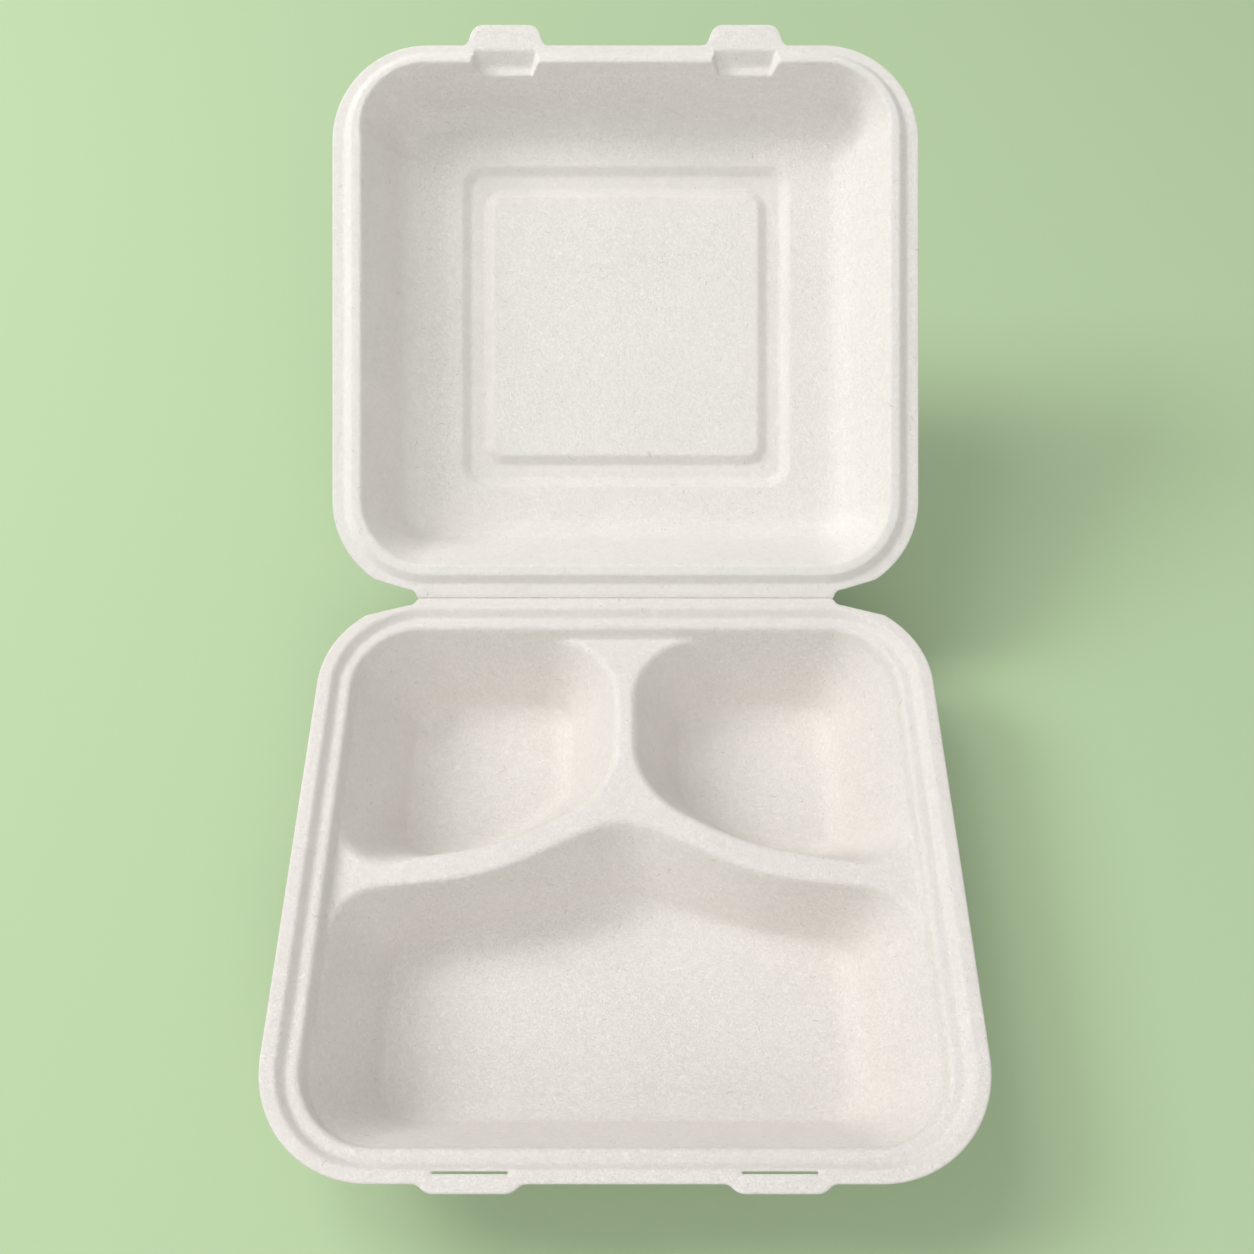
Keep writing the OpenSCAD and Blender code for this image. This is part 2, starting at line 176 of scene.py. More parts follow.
class LidSizes(bpy.types.PropertyGroup):
    """Sizes of the lid, its bead, roof panel, troughs and tabs."""

    margin: length("Margin", "Distance of the lid's edge inside the tray's edge", 1.0)
    depth: length("Depth", "Depth from the lid's flange to its roof", 25.5)
    wall: length("Wall", "Thickness of the lid's wall", 0.65)
    draft: angle("Draft", "Slope of the lid's walls from upright", 27.0)
    roof_radius: length("Roof radius", "Radius between walls and roof", 11.0)
    latch_lean: length("Latch lean", "Further reach of the roof on the latch side", 6.5)
    latch_pinch: length("Latch pinch", "Narrowing of the bead on the latch side", 2.8)
    bead_gap: length("Bead gap", "Gap between bead and tray step when shut", 0.6)
    bead_slope: length("Bead slope", "Width of the bead's outer slope", 3.2)
    bead_rise: length("Bead rise", "Height of the bead over the flange", 2.4)
    bead_top: length("Bead top", "Width of the bead's top", 3.8)
    bead_edge: length("Bead edge radius", "Radius of the bead's edges", 1.5)
    square_width: length("Sunk square width", "Width of the sunk square in the roof", 133.0)
    square_length: length("Sunk square length", "Length of the sunk square in the roof", 130.4)
    square_corner: length("Square corner radius", "Corner radius of the sunk square", 9.0)
    inner_corner: length("Panel corner radius", "Corner radius of the raised panel's foot", 8.0)
    groove: length("Groove width", "Width of the groove round the panel", 5.5)
    groove_depth: length("Groove depth", "Depth of the groove round the panel", 2.8)
    groove_slope: length("Groove slope", "Width of the groove's sloping sides", 3.6)
    panel_shift: length("Panel shift", "Lid's middle to the panel's middle", 3.3)
    tab_reach: length("Tab reach", "Reach of a tab past the lid's edge", 8.0)
    tab_tip: length("Tab tip width", "Width of a tab at its tip", 24.6)
    tab_root: length("Tab root width", "Width of a tab at its root", 30.0)
    tab_corner: length("Tab corner radius", "Corner radius of a tab's tip", 3.6)
    trough: length("Trough width", "Width of the trough beside a tab", 26.5)
    trough_depth: length("Trough depth", "Depth of the trough below the flange", 4.4)
    trough_start: length("Trough start", "Distance from the lid's edge to the trough", 1.9)
    trough_ramp: length("Trough ramp", "Width of the slope into the trough", 4.7)


class BoxSizes(bpy.types.PropertyGroup):
    """Sizes that tray and lid share."""

    height: length("Height", "Height of the crease over the table", CREASE.z / MM)
    latch: length("Latch distance", "Distance of each latch from the middle", 46.6)
    crease_half: length("Half crease", "Half the length of the crease", 81.0)
    notch: length("Notch radius", "Radius of the notch at each end of the crease", 3.2)
    shut_gap: length("Shut gap", "Gap between the flanges when the box is shut", 0.3)


class FibreLook(bpy.types.PropertyGroup):
    """Colours and finish of the pressed fibre."""

    # Tray and lid are one pressed sheet of the same fibre. The tray's colour is the lid's made about 4
    # percent darker, which is painted shade on the whole tray.
    tray_colour_with_painted_shade: colour("Tray colour", "Colour of the tray's fibre", (0.795, 0.765, 0.722))
    lid_colour: colour("Lid colour", "Colour of the lid's fibre", (0.825, 0.799, 0.760))
    fleck_colour: colour("Fleck colour", "Colour of the unbleached fibres", (0.42, 0.34, 0.25))
    loose_colour: colour("Loose fibre colour", "Colour of the loose fibres", (0.60, 0.54, 0.46))
    fibre_density: bpy.props.FloatProperty(
        name="Fibre density", description="Loose fibres on each square metre", default=3200.0, min=0.0)
    floor_colour: colour("Floor colour", "Colour of the studio floor", (0.445, 0.59, 0.36))


class Settings(bpy.types.PropertyGroup):
    """All settings of the box."""

    tray: bpy.props.PointerProperty(type=TraySizes, name="Tray", description="Sizes of the tray")
    pockets: bpy.props.PointerProperty(type=PocketSizes, name="Pockets", description="The compartments")
    lid: bpy.props.PointerProperty(type=LidSizes, name="Lid", description="Sizes of the lid")
    box: bpy.props.PointerProperty(type=BoxSizes, name="Box", description="Sizes that tray and lid share")
    look: bpy.props.PointerProperty(type=FibreLook, name="Look", description="Colours of the fibre")


class Sizes:
    """The lengths of a property group in millimetres, and its angles in radians."""

    def __init__(self, group):
        for key, prop in group.bl_rna.properties.items():
            if prop.type == "FLOAT":
                value = getattr(group, key)
                setattr(self, key, value if prop.subtype == "ANGLE" else value / MM)


def soft_max(a, b, blend):
    """The larger of two heights, with a round valley of that size where they meet."""
    share = np.clip(0.5 + 0.5 * (a - b) / blend, 0, 1)
    return b + (a - b) * share + blend * share * (1 - share)


def soft_min(a, b, blend):
    """The smaller of two heights, with a round ridge of that size where they meet."""
    return -soft_max(-a, -b, blend)


def rounded_distance(x, y, half_w, low_y, high_y, radius):
    """Distance outside a rounded rectangle, negative inside it."""
    across = np.abs(x) - half_w + radius
    along = np.abs(y - (low_y + high_y) / 2) - (high_y - low_y) / 2 + radius
    corner = np.hypot(np.maximum(across, 0), np.maximum(along, 0))
    return corner + np.minimum(np.maximum(across, along), 0) - radius


def rounded_path(corners, closed, steps=7):
    """Points of a path whose corners (first, second, radius) are rounded."""
    points = [] if closed else [np.array(corners[0][:2], float)]
    count = len(corners)
    for i in range(count) if closed else range(1, count - 1):
        here = np.array(corners[i][:2], float)
        radius = corners[i][2]
        back = np.array(corners[i - 1][:2], float) - here
        ahead = np.array(corners[(i + 1) % count][:2], float) - here
        back /= np.linalg.norm(back)
        ahead /= np.linalg.norm(ahead)
        half = math.acos(float(np.clip(back @ ahead, -1, 1))) / 2
        centre = here + (back + ahead) / np.linalg.norm(back + ahead) * radius / math.sin(half)
        first = here + back * radius / math.tan(half) - centre
        last = here + ahead * radius / math.tan(half) - centre
        for share in np.linspace(0, 1, steps + 1):
            spoke = first * (1 - share) + last * share
            points.append(centre + spoke * radius / max(np.linalg.norm(spoke), 1e-9))
    if not closed:
        points.append(np.array(corners[-1][:2], float))
    return np.array(points)


def mirrored_path(middle, right):
    """Closed path through a middle point, the corners right of it and their mirror images."""
    left = [(-x, y, radius) for x, y, radius in right]
    return rounded_path([middle, *left, *right[::-1]], True, CORNER_STEPS)


def path_distance(x, y, path, batch=20000):
    """Distance outside a closed path, negative inside it."""
    shape = np.shape(x)
    points = np.stack([np.ravel(x), np.ravel(y)], axis=1)
    step = np.roll(path, -1, axis=0) - path
    found = np.empty(len(points))
    for low in range(0, len(points), batch):
        part = points[low:low + batch]
        gap = part[:, None] - path
        share = np.clip((gap * step).sum(2) / (step * step).sum(1), 0, 1)
        off = gap - share[:, :, None] * step
        near = np.sqrt((off * off).sum(2).min(1))
        above = path[:, 1] > part[:, 1:2]
        crosses = above != (path[:, 1] + step[:, 1] > part[:, 1:2])
        with np.errstate(divide="ignore", invalid="ignore"):
            at = path[:, 0] + (part[:, 1:2] - path[:, 1]) / step[:, 1] * step[:, 0]
        inside = (crosses & (part[:, :1] < at)).sum(1) % 2 == 1
        found[low:low + batch] = np.where(inside, -near, near)
    return found.reshape(shape)


def wall_run(x, y, paths, reach):
    """Run down a pocket's wall, 0 on its top path and the given reach on its floor path."""
    top, floor = paths
    inside = -path_distance(x, y, top)
    past = -path_distance(x, y, floor)
    between = reach * inside / np.maximum(inside - past, 0.01)
    return np.where(past > 0, reach + 0.8 * past, np.where(inside > 0, between, inside))


def even_points(path, spacing, nudge=0.05):
    """Evenly spaced points along a closed path, with the outward normal at each."""
    ring = np.vstack([path, path[:1]])
    reach = np.concatenate([[0], np.cumsum(np.linalg.norm(np.diff(ring, axis=0), axis=1))])
    at = np.linspace(0, reach[-1], max(8, int(reach[-1] / spacing)), endpoint=False)

    def points_at(run):
        return np.stack([np.interp(run, reach, ring[:, k]) for k in (0, 1)], axis=1)

    along = points_at(np.minimum(at + nudge, reach[-1])) - points_at(np.maximum(at - nudge, 0))
    along /= np.linalg.norm(along, axis=1)[:, None]
    return points_at(at), np.stack([along[:, 1], -along[:, 0]], axis=1)


def slope_of(function, x, y, step=0.04):
    """Gradient of a function of x and y."""
    across = (function(x + step, y) - function(x - step, y)) / (2 * step)
    along = (function(x, y + step) - function(x, y - step)) / (2 * step)
    return np.stack([across, along], axis=-1)


def new_object(name, data):
    """An object at the origin with the given data, placed in the scene."""
    made = bpy.data.objects.new(name, data)
    bpy.context.scene.collection.objects.link(made)
    return made


class PointField:
    """Plan points of a sheet, kept a set distance apart."""

    def __init__(self, inside, level):
        self.cells = {}
        self.points = []
        self.inside = inside
        self.level = level

    def add(self, points, gap, keep=None):
        """Adds each point that lies inside the sheet and is at least the gap from the others."""
        points = np.asarray(points, float).reshape(-1, 2)
        depth = self.inside(points[:, 0], points[:, 1])
        wanted = depth < self.level - 0.6 * gap if keep is None else keep
        for x, y in points[wanted]:
            column, row = math.floor(x), math.floor(y)
            near = (p for i in (-1, 0, 1) for j in (-1, 0, 1)
                    for p in self.cells.get((column + i, row + j), ()))
            if all((x - p[0]) ** 2 + (y - p[1]) ** 2 >= gap * gap for p in near):
                self.cells.setdefault((column, row), []).append((x, y))
                self.points.append((x, y))

    def add_edge(self, low, high, spacing, fine_spacing, fine):
        """Adds points on the sheet's edge, closer together where the fine test says so."""
        tolerance = 0.004
        for size, gap, test in ((0.25, fine_spacing, fine), (0.5, spacing, lambda x, y: ~fine(x, y))):
            x, y = np.meshgrid(np.arange(low[0], high[0], size), np.arange(low[1], high[1], size))
            x, y = x.ravel(), y.ravel()
            if size < 0.5:
                chosen = fine(x, y)
                x, y = x[chosen], y[chosen]
            for reach in (1.2, 0.4, math.inf, math.inf, math.inf, math.inf):
                off = self.inside(x, y) - self.level
                near = np.abs(off) < reach
                x, y, off = x[near], y[near], off[near]
                slope = slope_of(self.inside, x, y)
                scale = off / np.maximum((slope * slope).sum(1), 0.2)
                x, y = x - slope[:, 0] * scale, y - slope[:, 1] * scale
            good = (np.abs(self.inside(x, y) - self.level) < tolerance) & test(x, y)
            order = np.lexsort((np.round(x[good], 3), np.round(y[good], 3)))
            self.add(np.stack([x[good], y[good]], axis=1)[order], gap, np.ones(good.sum(), bool))

    def add_grid(self, low, high, spacing, gap, test=None):
        """Adds a staggered grid of points between two corners."""
        rows = np.arange(low[1], high[1], spacing * math.sqrt(0.75))
        across = np.arange(low[0], high[0], spacing)
        points = np.vstack([
            np.stack([across + (k % 2) * spacing / 2, np.full(len(across), row)], axis=1)
            for k, row in enumerate(rows)])
        if test is not None:
            points = points[test(points[:, 0], points[:, 1])]
        self.add(points, gap)


def pressed_sheet(name, field, face, thickness, place):
    """Closed sheet with the given upper face, the wall laid under it and a round edge."""
    plan = np.array(field.points)
    found = delaunay_2d_cdt([Vector(p) for p in plan], [], [], 0, 1e-6)
    plan = np.array([tuple(p) for p in found[0]])
    triangles = np.array([t for t in found[2] if len(t) == 3])
    corners = plan[triangles]
    turn = np.cross(corners[:, 1] - corners[:, 0], corners[:, 2] - corners[:, 0])
    triangles[turn < 0] = triangles[turn < 0][:, ::-1]
    middle = corners.mean(axis=1)
    inside = field.inside(middle[:, 0], middle[:, 1]) < field.level
    triangles = triangles[inside & (np.abs(turn) > 1e-5)]
    used = np.unique(triangles)
    renumber = np.full(len(plan), -1)
    renumber[used] = np.arange(len(used))
    plan, triangles = plan[used], renumber[triangles]
    x, y = plan.T
    slope = slope_of(face, x, y)
    normal = np.stack([-slope[:, 0], -slope[:, 1], np.ones(len(x))], axis=1)
    normal /= np.linalg.norm(normal, axis=1)[:, None]
    top = np.stack([x, y, face(x, y)], axis=1)
    under = top - thickness * normal
    directed = {edge: True for a, b, c in triangles.tolist() for edge in ((a, b), (b, c), (c, a))}
    border = [edge for edge in directed if (edge[1], edge[0]) not in directed]
    ends = sorted({k for edge in border for k in edge})
    loop = {k: i for i, k in enumerate(ends)}
    outward = slope_of(field.inside, x[ends], y[ends])
    outward /= np.maximum(np.linalg.norm(outward, axis=1), 1e-9)[:, None]
    rings = []
    for turned in EDGE_ANGLES:
        ring = top[ends].copy()
        ring[:, :2] += outward * thickness / 2 * math.sin(turned)
        ring[:, 2] -= thickness / 2 * (1 - math.cos(turned))
        rings.append(ring)
    under[ends] = top[ends] - [0, 0, thickness]
    count = len(plan)
    faces = triangles.tolist() + (triangles[:, ::-1] + count).tolist()
    for a, b in border:
        starts = [2 * count + k * len(ends) for k in range(len(rings))]
        chain = [(a, b)] + [(start + loop[a], start + loop[b]) for start in starts] + [(a + count, b + count)]
        faces += [(high[1], high[0], low[0], low[1]) for high, low in zip(chain, chain[1:])]
    points = np.vstack([top, under] + rings) * MM
    mesh = bpy.data.meshes.new(name)
    mesh.from_pydata([place @ Vector(p) for p in points], [], faces)
    mesh.update()
    for polygon in mesh.polygons:
        polygon.use_smooth = True
    return new_object(name, mesh)


def tongue_distance(across, ahead, root, tip, reach, corner):
    """Distance outside a trapezoid that reaches ahead from its root line, negative inside it."""
    lean = math.atan2((root - tip) / 2, reach)
    side = (across - root / 2) * math.cos(lean) + ahead * math.sin(lean)
    return np.maximum(soft_max(side, ahead - reach, corner), -ahead - 2.0)


def notch_distance(x, y, box):
    """Distance outside the notches at the ends of the crease, negative inside them."""
    start = box.crease_half + box.notch
    widen = 5 * box.notch
    share = np.clip((np.abs(x) - start) / widen, 0, 1)
    return np.hypot(np.abs(x) - start - widen * share, y) - box.notch * (1 + 1.5 * share)


def flat_place(tilt):
    """Matrix from the flat box about its crease to the row frame."""
    return Matrix.Translation(CREASE) @ Matrix.Rotation(tilt, 4, "X")


def shared_heights(tray, box):
    """Heights of flange, ledge, dividers and floor from the crease line."""
    flange = -box.shut_gap / 2
    ledge = flange - tray.step_drop
    return flange, ledge, ledge - tray.divider_drop, tray.wall - box.height


def tray_shape(tray, pockets, box):
    """Outline and upper face of the tray, drawn flat about the crease, with its pocket outlines."""
    flange_z, ledge_z, divider_z, floor_z = shared_heights(tray, box)
    trim = tray.flange - tray.front_flange
    ledge_run = tray.flange + tray.step
    rim_run = ledge_run + tray.ledge
    land_run = rim_run + tray.divider_drop * math.tan(tray.draft)
    half_land = tray.width / 2 - land_run
    front = tray.reach + trim - land_run
    corner = tray.corner - land_run
    half_divider = tray.divider / 2
    back_pocket = rounded_path([
        (half_land, -land_run, corner), (half_divider, -land_run, pockets.back_radius),
        (half_divider, -pockets.mid_reach, pockets.mid_radius),
        (pockets.bend_across, -pockets.bend_reach, pockets.bend_radius),
        (half_land, -pockets.side_reach, pockets.side_radius)], True, CORNER_STEPS)
    main_pocket = mirrored_path((0, -pockets.main_mid_reach, pockets.main_mid_radius), [
        (pockets.main_bend_across, -pockets.main_bend_reach, pockets.main_bend_radius),
        (half_land, -pockets.main_side_reach, pockets.main_side_radius), (half_land, -front, corner)])
    side = pockets.floor_half
    round_off = pockets.floor_corner
    back_floor = rounded_path([
        (side, -pockets.floor_back, round_off), (pockets.floor_inner, -pockets.floor_back, round_off),
        (pockets.floor_inner, -pockets.floor_mid, round_off),
        (pockets.floor_bend_across, -pockets.floor_bend, pockets.floor_bend_radius),
        (side, -pockets.floor_front, round_off)], True, CORNER_STEPS)
    main_floor = mirrored_path((0, -pockets.main_floor_mid, pockets.main_mid_radius), [
        (pockets.main_floor_across, -pockets.main_floor_bend, pockets.floor_bend_radius),
        (side, -pockets.main_floor_back, round_off), (side, -pockets.main_floor_front, round_off)])
    back_paths, main_paths = (back_pocket, back_floor), (main_pocket, main_floor)
    below = 60
    deep = rim_run + below * math.tan(tray.draft)
    tub = rounded_path([
        (0, flange_z, 0), (tray.flange, flange_z, tray.step_edge), (ledge_run, ledge_z, tray.step_edge),
        (rim_run, ledge_z, tray.ledge_edge), (deep, ledge_z - below, 0)], False)
    foot = (divider_z - floor_z) * math.tan(tray.draft)
    wall = rounded_path([
        (-20, divider_z, 0), (0, divider_z, tray.shoulder), (foot, floor_z, tray.floor_radius),
        (80, floor_z, 0)], False, 12)
    slit_y = -(tray.reach - tray.front_flange) - tray.slit_gap

    def outline(x, y):
        edge = rounded_distance(x, y, tray.width / 2, -tray.reach, -SEAM, tray.corner)
        across = np.abs(np.abs(x) - box.latch)
        ear = tongue_distance(across, -y - tray.reach, tray.ear_root, tray.ear_tip, tray.ear_reach, 1.4)
        half = (tray.slit - tray.slit_gap) / 2
        slit = np.hypot(np.maximum(across - half, 0), y - slit_y) - tray.slit_gap / 2
        return np.maximum(np.maximum(soft_min(edge, ear, 1.2), -slit), -notch_distance(x, y, box))

    def face(x, y):
        run = -rounded_distance(x, y, tray.width / 2, -(tray.reach + trim), -SEAM, tray.corner)
        rim = np.interp(run, tub[:, 0], tub[:, 1])
        back = np.interp(wall_run(np.abs(x), y, back_paths, foot), wall[:, 0], wall[:, 1])
        main = np.interp(wall_run(x, y, main_paths, foot), wall[:, 0], wall[:, 1])
        off = np.hypot(np.abs(np.abs(x) - box.latch) - tray.slit / 2, (y - slit_y) * 0.9)
        dimple = 0.45 * np.exp(-(off / 0.9) ** 2)
        return soft_max(rim, np.minimum(back, main), 0.9) - dimple

    return outline, face, back_paths, main_paths


def ring_points(half_w, low_y, high_y, radius):
    """Evenly spaced points round a rounded rectangle."""
    path = rounded_path([(half_w, low_y, radius), (half_w, high_y, radius), (-half_w, high_y, radius),
                         (-half_w, low_y, radius)], True, 24)
    return even_points(path, RING_SPACING)[0]


def tray_points(tray, box, outline, back_paths, main_paths):
    """Plan points that follow the tray's rim and the shoulders, walls and floors of its pockets."""
    field = PointField(outline, -tray.wall / 2)
    slit_y = -(tray.reach - tray.front_flange) - tray.slit_gap

    def by_latch(x, y):
        across = np.abs(np.abs(x) - box.latch)
        by_slit = (across < tray.slit / 2 + 2) & (np.abs(y - slit_y) < 2.4)
        by_ear = (across > tray.ear_tip / 2 - 4) & (across < tray.ear_root / 2 + 4) & (y < -tray.reach + 3)
        return by_slit | by_ear | (notch_distance(x, y, box) < 3)

    half = tray.width / 2
    low = (-half - 1, -tray.reach - tray.ear_reach - 1)
    field.add_edge(low, (half + 1, 1), EDGE_SPACING, FINE_EDGE_SPACING, by_latch)
    trim = tray.flange - tray.front_flange
    end = tray.flange + tray.step + tray.ledge
    runs = [1.8, 3.2, 4.0, *np.arange(4.4, 8.7, 0.4), 9.4, *np.arange(end - 2.0, end + 1.1, 0.38)]
    for run in runs:
        field.add(ring_points(half - run, -(tray.reach + trim - run), -run - SEAM, tray.corner - run), 0.36)
    top_insets = [-2.2, -1.8, -1.4, -1.0, -0.6, -0.2, 0.2, 0.7, 1.6, 3.0, 4.6, 6.4, 8.2, 10.0]
    floor_insets = [-8.0, -6.4, -5.2, -4.2, -3.3, -2.5, -1.7, -0.9, 0.0, 0.9, 1.8, 2.8, 3.9, 5.2, 6.8, 8.6]
    tub_edge = end + 1.0
    shoulder_gap = 0.34
    for path, mirrored, insets in ((back_paths[0], True, top_insets), (main_paths[0], False, top_insets),
                                   (back_paths[1], True, floor_insets), (main_paths[1], False, floor_insets)):
        points, normals = even_points(path, WALL_SPACING)
        following = np.roll(points, -1, axis=0)
        if (points[:, 0] * following[:, 1] - following[:, 0] * points[:, 1]).sum() < 0:
            normals = -normals
        for inset in insets:
            ring = points - normals * inset
            off = -path_distance(ring[:, 0], ring[:, 1], path)
            run = -rounded_distance(ring[:, 0], ring[:, 1], half, -(tray.reach + trim), -SEAM, tray.corner)
            ring = ring[(np.abs(off - inset) < 0.06) & (run > tub_edge)]
            field.add(ring, shoulder_gap)
            if mirrored:
                field.add(ring * [-1, 1], shoulder_gap)

    def land(x, y):
        return (path_distance(np.abs(x), y, back_paths[0]) > 0) & (path_distance(x, y, main_paths[0]) > 0)

    field.add_grid((-half, -tray.reach), (half, 0), 0.9, 0.55, land)
    field.add_grid((-half, -tray.reach), (half, 0), 3.2, 0.99)
    return field


def lid_shape(tray, lid, box):
    """Outline and upper face of the lid, drawn flat about the crease."""
    flange_z = -box.shut_gap / 2
    trim = tray.flange - tray.front_flange
    edge_y = tray.reach - lid.margin
    flange = tray.flange + lid.bead_gap - lid.margin
    bead_z = flange_z + lid.bead_rise
    bead_run = flange + lid.bead_slope
    rim_run = bead_run + lid.bead_top
    roof_z = flange_z - lid.depth
    roof_run = rim_run + (bead_z - roof_z) * math.tan(lid.draft)
    section = rounded_path([
        (0, flange_z, 0), (flange, flange_z, lid.bead_edge), (bead_run, bead_z, lid.bead_edge),
        (rim_run, bead_z, lid.bead_edge), (roof_run, roof_z, lid.roof_radius), (200, roof_z, 0)], False, 12)
    step_down, step_up = (
        rounded_path([(-30, 0, 0), (0, 0, edge), (lid.groove_slope, rise, edge), (90, rise, 0)], False)
        for rise, edge in ((-lid.groove_depth, 2.2), (lid.groove_depth, 2.0)))
    inward = lid.groove_slope + lid.groove
    middle = tray.reach / 2 + lid.panel_shift
    half_l = lid.square_length / 2
    trough_y = edge_y - lid.trough_start
    low_z = flange_z - lid.trough_depth
    rise = lid.trough_depth + lid.bead_rise
    far_y = edge_y + trim
    half_w = tray.width / 2 - lid.margin
    radius = tray.corner - lid.margin
    side_run = 3
    walls = np.linspace(0, 120, 600)
    drop = np.clip((bead_z - np.interp(walls, section[:, 0], section[:, 1])) / (bead_z - roof_z), 0, 1)
    pinch = lid.latch_pinch * np.clip((walls - flange) / (rim_run - flange), 0, 1)
    leaned = walls - pinch - (lid.latch_lean - lid.latch_pinch) * np.where(walls > rim_run - 2, drop, 0)

    def outline(x, y):
        edge = rounded_distance(x, y, half_w, lid.margin, edge_y, radius)
        across = np.abs(np.abs(x) - box.latch)
        tab = tongue_distance(across, y - edge_y, lid.tab_root, lid.tab_tip, lid.tab_reach, lid.tab_corner)
        beside = np.abs(x) - box.crease_half - 2 * box.notch
        strip = np.maximum(np.maximum(beside, SEAM - y), y - 2 * lid.margin - 1)
        return np.maximum(soft_min(soft_min(edge, tab, 2.2), strip, 0.3), -notch_distance(x, y, box))

    def face(x, y):
        run = -rounded_distance(x, y, half_w, lid.margin, far_y, radius)
        past_x, past_y = np.abs(x) - half_w + radius, y - far_y + radius
        latchward = np.clip(past_y / np.hypot(np.maximum(past_x, 0.01), np.maximum(past_y, 0.01)), 0, 1)
        run = run + latchward * (np.interp(run, leaned, walls, left=-30) - run) * (run > 0)
        height = np.interp(run, section[:, 0], section[:, 1])
        square = -rounded_distance(
            x, y, lid.square_width / 2, middle - half_l, middle + half_l, lid.square_corner)
        panel = -rounded_distance(
            x, y, lid.square_width / 2 - inward, middle - half_l + inward, middle + half_l - inward,
            lid.inner_corner)
        height = height + np.interp(square, step_down[:, 0], step_down[:, 1])
        height = height + np.interp(panel, step_up[:, 0], step_up[:, 1])
        across = np.abs(np.abs(x) - box.latch)
        ramp = low_z + (y - trough_y + lid.trough_ramp) * lid.trough_depth / lid.trough_ramp
        side = low_z + (across - lid.trough / 2 + side_run) * (rise + 1) / side_run
        hollow = soft_max(soft_max(ramp, low_z, 0.8), side, 1.2)
        return np.where(y > middle, soft_min(height, hollow, 0.7), height)

    def latch_run(run):
        return np.interp(run, walls, leaned)

    return outline, face, latch_run


def lid_points(tray, lid, box, outline, latch_run):
    """Plan points that follow the lid's bead, wall, roof panel and troughs."""
    field = PointField(outline, -lid.wall / 2)
    half = tray.width / 2 - lid.margin
    edge_y = tray.reach - lid.margin
    trim = tray.flange - tray.front_flange

    def by_latch(x, y):
        across = np.abs(np.abs(x) - box.latch)
        by_tab = (across > lid.tab_tip / 2 - 5) & (across < lid.tab_root / 2 + 4) & (y > edge_y - 2)
        return by_tab | (notch_distance(x, y, box) < 3)

    high = (half + 1, edge_y + lid.tab_reach + 1)
    field.add_edge((-half - 1, -1), high, EDGE_SPACING, FINE_EDGE_SPACING, by_latch)
    for x in (-box.latch, box.latch):
        field.add_grid((x - 19, edge_y - 22), (x + 19, edge_y + 1), 0.62, 0.40)
    flange = tray.flange + lid.bead_gap - lid.margin
    bead = flange + lid.bead_slope
    end = bead + lid.bead_top
    fine = 0.35
    runs = [1.6, 2.8, *np.arange(flange - 0.9, flange + 1.2, fine), flange + 1.6,
            *np.arange(bead - 1.1, bead + 1.2, fine), bead + 1.9,
            *np.arange(end - 1.3, end + 1.0, fine), end + 1.6, end + 3, end + 5,
            *np.arange(end + 7, end + 25, 1.0)]
    for run in runs:
        radius = max(2.5, tray.corner - lid.margin - run)
        field.add(ring_points(half - run, lid.margin + run, edge_y + trim - latch_run(run), radius), 0.33)
    middle = tray.reach / 2 + lid.panel_shift
    inward = lid.groove_slope + lid.groove
    around = [-1.2, -0.7, -0.3, 0.1, 0.5, 1.0, 1.6, 2.2, 2.7, 3.1, 3.5, 3.9, 4.4, 5.0]
    for first, corner in ((0, lid.square_corner), (inward, lid.inner_corner)):
        for inset in around:
            half_l = lid.square_length / 2 - first - inset
            half_w = lid.square_width / 2 - first - inset
            field.add(ring_points(half_w, middle - half_l, middle + half_l, max(1.5, corner - inset)), 0.3)
    field.add_grid((-half, 0), (half, edge_y + 9), 3.0, 0.99)
    return field


def crease_strip(name, box):
    """Thin ribbon that closes the crease from below, built bent to the lid's tilt in this pose."""
    reach, bend, sunk, thickness = 1.6, 0.6, 0.26, 0.46
    high = -box.shut_gap / 2 - sunk
    low = high - thickness
    half = box.crease_half - bend
    count = 120
    ring = []
    for y, z in ((-reach, high), (-bend, high), (0, high), (bend, high), (reach, high),
                 (reach, low), (bend, low), (0, low), (-bend, low), (-reach, low)):
        tilt = LID_TILT if y > 0 else 0.5 * LID_TILT if y == 0 else 0.0
        ring.append((y * math.cos(tilt) - z * math.sin(tilt), y * math.sin(tilt) + z * math.cos(tilt)))
    points = [Vector((x, y, z)) * MM + CREASE for x in np.linspace(-half, half, count + 1) for y, z in ring]
    size = len(ring)
    faces = [(i * size + k, i * size + (k + 1) % size, (i + 1) * size + (k + 1) % size, (i + 1) * size + k)
             for i in range(count) for k in range(size)]
    faces += [tuple(range(size))[::-1], tuple(count * size + k for k in range(size))]
    mesh = bpy.data.meshes.new(name)
    mesh.from_pydata(points, [], faces)
    mesh.update()
    made = new_object(name, mesh)
    bpy.context.view_layer.update()
    return made


def link(tree, first, output, second, target):
    """Links an output to an input, each given by name or number."""
    tree.links.new(first.outputs[output], second.inputs[target])


def add_node(tree, kind, at, **values):
    """Adds a node with its options and its inputs, each a value or the (node, output) that feeds it."""
    made = tree.nodes.new(kind)
    made.location = at
    for key, value in values.items():
        if hasattr(made, key):
            setattr(made, key, value)
        elif isinstance(value, tuple):
            link(tree, *value, made, key.replace("_", " "))
        else:
            made.inputs[key.replace("_", " ")].default_value = value
    return made


def math_node(tree, at, operation, *sources):
    """Adds a math node that is fed by numbers or by (node, output) pairs."""
    made = add_node(tree, "ShaderNodeMath", at, operation=operation)
    for target, source in enumerate(sources):
        if isinstance(source, tuple):
            link(tree, *source, made, target)
        else:
            made.inputs[target].default_value = source
    return made


